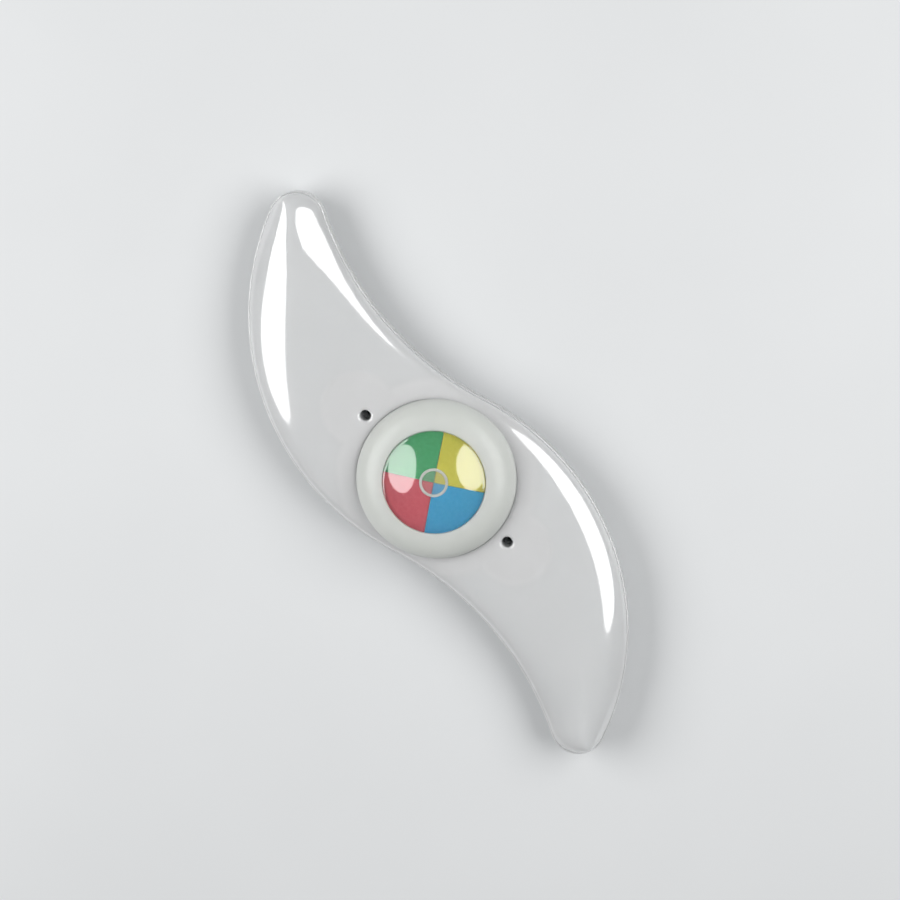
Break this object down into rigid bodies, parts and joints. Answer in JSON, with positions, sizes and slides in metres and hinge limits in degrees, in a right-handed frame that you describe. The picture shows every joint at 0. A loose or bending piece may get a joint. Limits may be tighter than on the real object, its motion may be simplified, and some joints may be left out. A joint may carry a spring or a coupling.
{
  "type": "bicycle spoke light",
  "caption": "Leaf-shaped translucent wheel light that clamps between bicycle spokes, with a clear push-button dome over a coloured disc and a turn-lock rear plate.",
  "frame": {"origin": "on the hub axis at the flat back of the lock plate", "axes": "+X along the leaf to one tip, +Z out of the front through the button dome"},
  "size_m": [0.1316, 0.052, 0.0195],
  "materials": {
    "shell_front": "milky translucent, glossy",
    "shell_back": "milky translucent, glossy",
    "ring_plastic": "milky white, glossy",
    "clear_plastic": "clear, polished",
    "disc_plastic": "white diffuser",
    "green_film": "coloured film",
    "yellow_film": "coloured film",
    "blue_film": "coloured film",
    "red_film": "coloured film",
    "black_plastic": "moulded",
    "ivory_plastic": "moulded",
    "sheet_steel": "tinned sheet",
    "tinned_wire": "tinned wire",
    "board_green": "solder mask",
    "resistor_body": "moulded",
    "lamp_white": "moulded",
    "lamp_clear": "clear resin",
    "holder_plastic": "moulded",
    "cell_steel": "nickel plated",
    "pad_foam": "foam",
    "contact_brass": "spring sheet",
    "screw_steel": "zinc plated",
    "plate_plastic": "milky white, glossy",
    "seal_rubber": "moulded ring"
  },
  "bodies": {
    "lamp": {"front_shell": "shell_front", "back_shell": "shell_back", "hub_bezel": "ring_plastic", "bezel_seal": "seal_rubber", "switch_case": "black_plastic", "switch_cover": "sheet_steel", "switch_feet": "sheet_steel", "circuit_board": "board_green", "control_chip": "black_plastic", "resistors": "resistor_body", "hub_leds": "lamp_white", "arm_led_a": "lamp_clear", "arm_led_b": "lamp_clear", "led_leads": "tinned_wire", "battery_holder": "holder_plastic", "coin_cell": "cell_steel", "positive_contact": "contact_brass", "negative_contact": "contact_brass", "hub_screws": "screw_steel"},
    "button": {"button_dome": "clear_plastic", "colour_disc": "disc_plastic", "green_field": "green_film", "yellow_field": "yellow_film", "blue_field": "blue_film", "red_field": "red_film"},
    "plunger": {"switch_plunger": "ivory_plastic"},
    "lock": {"rear_lock_plate": "plate_plastic", "cover_seal": "seal_rubber", "cell_pad": "pad_foam"}
  },
  "joints": [
    {"name": "button_press", "type": "slide", "parent": "lamp", "child": "button", "axis": [0, 0, -1], "range_m": [0, 0.0005], "stiffness_N_per_m": 4000},
    {"name": "plunger_press", "type": "slide", "parent": "lamp", "child": "plunger", "axis": [0, 0, -1], "range_m": [0, 0.0005]},
    {"name": "lock_turn", "type": "hinge", "parent": "lamp", "child": "lock", "pos_m": [0, 0, 0], "axis": [0, 0, 1], "range_deg": [0, 90]}
  ],
  "couplings": [
    {"joint": "plunger_press", "follows": "button_press", "ratio": 1}
  ]
}
